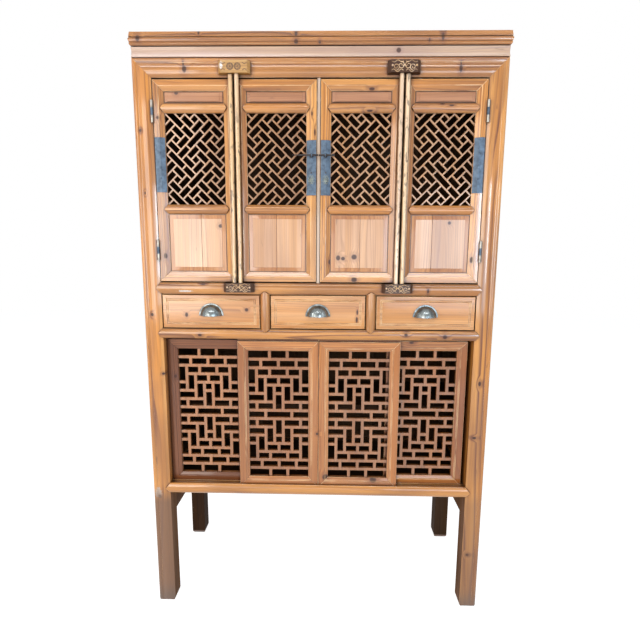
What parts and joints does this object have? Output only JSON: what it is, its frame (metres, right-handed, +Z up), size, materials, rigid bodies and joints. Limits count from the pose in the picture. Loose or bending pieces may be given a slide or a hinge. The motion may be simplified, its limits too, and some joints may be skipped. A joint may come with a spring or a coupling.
{
  "type": "book cabinet",
  "caption": "Tall softwood book cabinet with hinged lattice doors on top, a row of drawers, and sliding lattice doors below, on square legs.",
  "frame": {"origin": "middle of the bounding box at floor level, under the feet", "axes": "+Z up, front faces -Y, +X to the right seen from the front"},
  "size_m": [1.106, 0.467, 1.838],
  "materials": {
    "case_wood": "satin",
    "panel_wood": "satin",
    "lower_wood": "satin",
    "rod_wood": "satin",
    "block_wood": "matte",
    "inside_wood": "matte",
    "steel": "worn",
    "pewter": "worn"
  },
  "bodies": {
    "cabinet": {"front_post_left": "case_wood", "front_post_right": "case_wood", "rear_post_left": "case_wood", "rear_post_right": "case_wood", "frieze_rail": "case_wood", "waist_band": "case_wood", "cornice": "case_wood", "top_panel": "inside_wood", "book_rail": "case_wood", "drawer_rail": "case_wood", "foot_rail": "case_wood", "drawer_dividers": "case_wood", "centre_stile": "case_wood", "side_rails": "case_wood", "side_panels": "panel_wood", "rear_rails": "inside_wood", "back_panels": "inside_wood", "book_shelf": "inside_wood", "book_floor": "inside_wood", "drawer_dust_board": "inside_wood", "lower_shelf": "inside_wood", "lower_floor": "inside_wood", "top_block_left": "block_wood", "top_block_right": "block_wood", "low_block_left": "block_wood", "low_block_right": "block_wood", "post_hinge_leaves": "steel", "drawer_guides": "inside_wood"},
    "door_1": {"door_1_frame": "case_wood", "door_1_lattice": "panel_wood", "door_1_panels": "panel_wood", "door_1_rod": "rod_wood", "door_1_ironwork": "steel"},
    "door_2": {"door_2_frame": "case_wood", "door_2_lattice": "panel_wood", "door_2_panels": "panel_wood", "door_2_rod": "rod_wood", "door_2_ironwork": "steel"},
    "door_3": {"door_3_frame": "case_wood", "door_3_lattice": "panel_wood", "door_3_panels": "panel_wood", "door_3_rod": "rod_wood", "door_3_ironwork": "steel"},
    "door_4": {"door_4_frame": "case_wood", "door_4_lattice": "panel_wood", "door_4_panels": "panel_wood", "door_4_rod": "rod_wood", "door_4_ironwork": "steel"},
    "lock_pin_left": {"lock_pin_left": "steel"},
    "lock_pin_right": {"lock_pin_right": "steel"},
    "drawer_1": {"drawer_1": "panel_wood", "drawer_1_pull": "pewter"},
    "drawer_2": {"drawer_2": "panel_wood", "drawer_2_pull": "pewter"},
    "drawer_3": {"drawer_3": "panel_wood", "drawer_3_pull": "pewter"},
    "sliding_panel_1": {"sliding_panel_1": "lower_wood"},
    "sliding_panel_2": {"sliding_panel_2": "lower_wood"},
    "sliding_panel_3": {"sliding_panel_3": "lower_wood"},
    "sliding_panel_4": {"sliding_panel_4": "lower_wood"}
  },
  "joints": [
    {"name": "door_1_hinge", "type": "hinge", "parent": "cabinet", "child": "door_1", "pos_m": [-0.4942, -0.2119, 1.4155], "axis": [0, 0, -1], "range_deg": [0, 105]},
    {"name": "door_2_hinge", "type": "hinge", "parent": "cabinet", "child": "door_2", "pos_m": [-0.23955, -0.219, 1.4155], "axis": [0, 0, -1], "range_deg": [0, 95]},
    {"name": "door_3_hinge", "type": "hinge", "parent": "cabinet", "child": "door_3", "pos_m": [0.23955, -0.219, 1.4155], "axis": [0, 0, 1], "range_deg": [0, 95]},
    {"name": "door_4_hinge", "type": "hinge", "parent": "cabinet", "child": "door_4", "pos_m": [0.4942, -0.2119, 1.4155], "axis": [0, 0, 1], "range_deg": [0, 105]},
    {"name": "lock_pin_left_slide", "type": "slide", "parent": "door_2", "child": "lock_pin_left", "axis": [-1, 0, 0], "range_m": [0, 0.014]},
    {"name": "lock_pin_right_slide", "type": "slide", "parent": "door_3", "child": "lock_pin_right", "axis": [1, 0, 0], "range_m": [0, 0.014]},
    {"name": "drawer_1_slide", "type": "slide", "parent": "cabinet", "child": "drawer_1", "axis": [0, -1, 0], "range_m": [0, 0.25]},
    {"name": "drawer_2_slide", "type": "slide", "parent": "cabinet", "child": "drawer_2", "axis": [0, -1, 0], "range_m": [0, 0.25]},
    {"name": "drawer_3_slide", "type": "slide", "parent": "cabinet", "child": "drawer_3", "axis": [0, -1, 0], "range_m": [0, 0.25]},
    {"name": "sliding_panel_1_slide", "type": "slide", "parent": "cabinet", "child": "sliding_panel_1", "axis": [1, 0, 0], "range_m": [0, 0.22]},
    {"name": "sliding_panel_2_slide", "type": "slide", "parent": "cabinet", "child": "sliding_panel_2", "axis": [-1, 0, 0], "range_m": [0, 0.235]},
    {"name": "sliding_panel_3_slide", "type": "slide", "parent": "cabinet", "child": "sliding_panel_3", "axis": [1, 0, 0], "range_m": [0, 0.229]},
    {"name": "sliding_panel_4_slide", "type": "slide", "parent": "cabinet", "child": "sliding_panel_4", "axis": [-1, 0, 0], "range_m": [-0.0095, 0.22]}
  ],
  "couplings": [
    {"joint": "lock_pin_right_slide", "follows": "lock_pin_left_slide", "ratio": 1}
  ]
}
